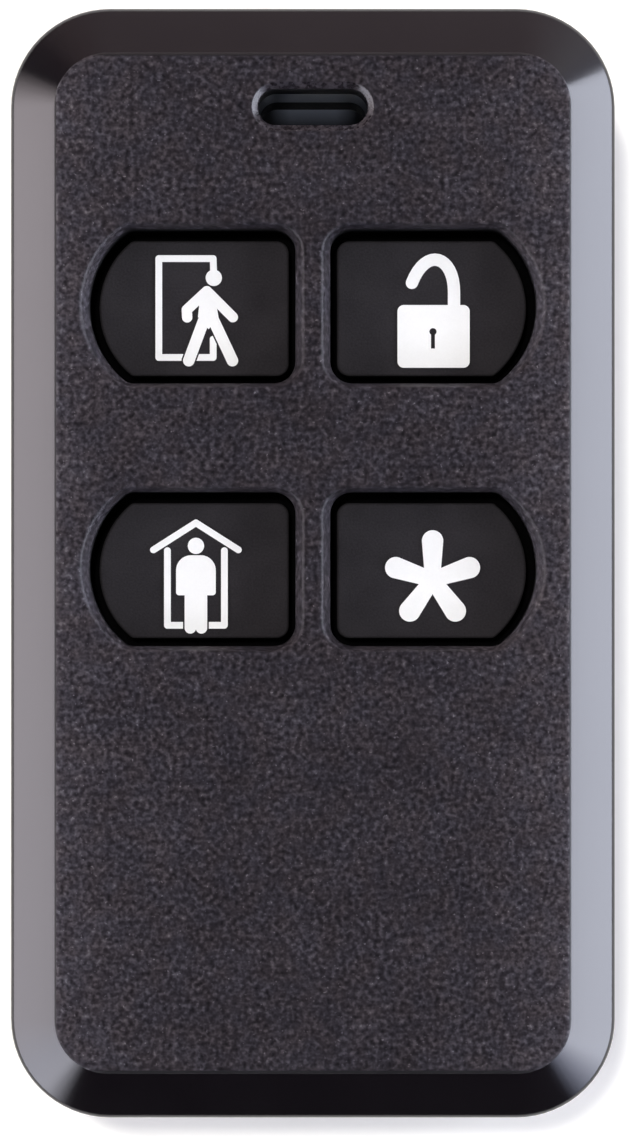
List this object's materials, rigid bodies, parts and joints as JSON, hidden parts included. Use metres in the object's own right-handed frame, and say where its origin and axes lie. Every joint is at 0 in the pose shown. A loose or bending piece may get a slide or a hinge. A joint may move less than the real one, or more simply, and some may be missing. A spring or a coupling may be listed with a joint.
{
  "type": "alarm key fob",
  "caption": "Dark plastic alarm key fob with sunk soft keys, white pictograms, a bevelled face and a key-ring slot through one end",
  "frame": {"origin": "middle of the back face, on the surface that the fob lies on", "axes": "+X to the right seen from the front, +Y toward the key-ring slot, +Z out of the front face"},
  "size_m": [0.0306, 0.056, 0.012],
  "materials": {
    "case_front": "fine moulded grain",
    "case_rear": "fine moulded grain",
    "screw_steel": "zinc plated",
    "key_rubber": "matte silicone",
    "legend_white": "screen print",
    "switch_plastic": "moulded",
    "spring_steel": "bright sheet",
    "tinned_brass": "tinned",
    "board_laminate": "solder mask",
    "chip_black": "moulded epoxy",
    "capacitor_ceramic": "fired",
    "lamp_resin": "clear resin",
    "cell_steel": "nickel plated"
  },
  "bodies": {
    "case": {"front_shell": "case_front", "rear_shell": "case_rear", "case_screws": "screw_steel", "keypad_mat": "key_rubber", "away_dome": "spring_steel", "disarm_dome": "spring_steel", "stay_dome": "spring_steel", "aux_dome": "spring_steel", "away_switch": "switch_plastic", "disarm_switch": "switch_plastic", "stay_switch": "switch_plastic", "aux_switch": "switch_plastic", "away_switch_cover": "spring_steel", "disarm_switch_cover": "spring_steel", "stay_switch_cover": "spring_steel", "aux_switch_cover": "spring_steel", "switch_terminals": "tinned_brass", "circuit_board": "board_laminate", "radio_chip": "chip_black", "controller_chip": "chip_black", "crystal": "spring_steel", "chip_capacitors": "capacitor_ceramic", "indicator_lamp": "lamp_resin", "antenna_loop": "tinned_brass", "coin_cell": "cell_steel", "battery_clip": "spring_steel", "negative_contact": "tinned_brass"},
    "away_button": {"away_key": "key_rubber", "away_legend": "legend_white", "away_plunger": "switch_plastic"},
    "disarm_button": {"disarm_key": "key_rubber", "disarm_legend": "legend_white", "disarm_plunger": "switch_plastic"},
    "stay_button": {"stay_key": "key_rubber", "stay_legend": "legend_white", "stay_plunger": "switch_plastic"},
    "aux_button": {"aux_key": "key_rubber", "aux_legend": "legend_white", "aux_plunger": "switch_plastic"}
  },
  "joints": [
    {"name": "away_press", "type": "slide", "parent": "case", "child": "away_button", "axis": [0, 0, -1], "range_m": [0, 0.00035], "stiffness_N_per_m": 3400, "deforming": ["away_dome"]},
    {"name": "disarm_press", "type": "slide", "parent": "case", "child": "disarm_button", "axis": [0, 0, -1], "range_m": [0, 0.00035], "stiffness_N_per_m": 3400, "deforming": ["disarm_dome"]},
    {"name": "stay_press", "type": "slide", "parent": "case", "child": "stay_button", "axis": [0, 0, -1], "range_m": [0, 0.00035], "stiffness_N_per_m": 3400, "deforming": ["stay_dome"]},
    {"name": "aux_press", "type": "slide", "parent": "case", "child": "aux_button", "axis": [0, 0, -1], "range_m": [0, 0.00035], "stiffness_N_per_m": 3400, "deforming": ["aux_dome"]}
  ]
}
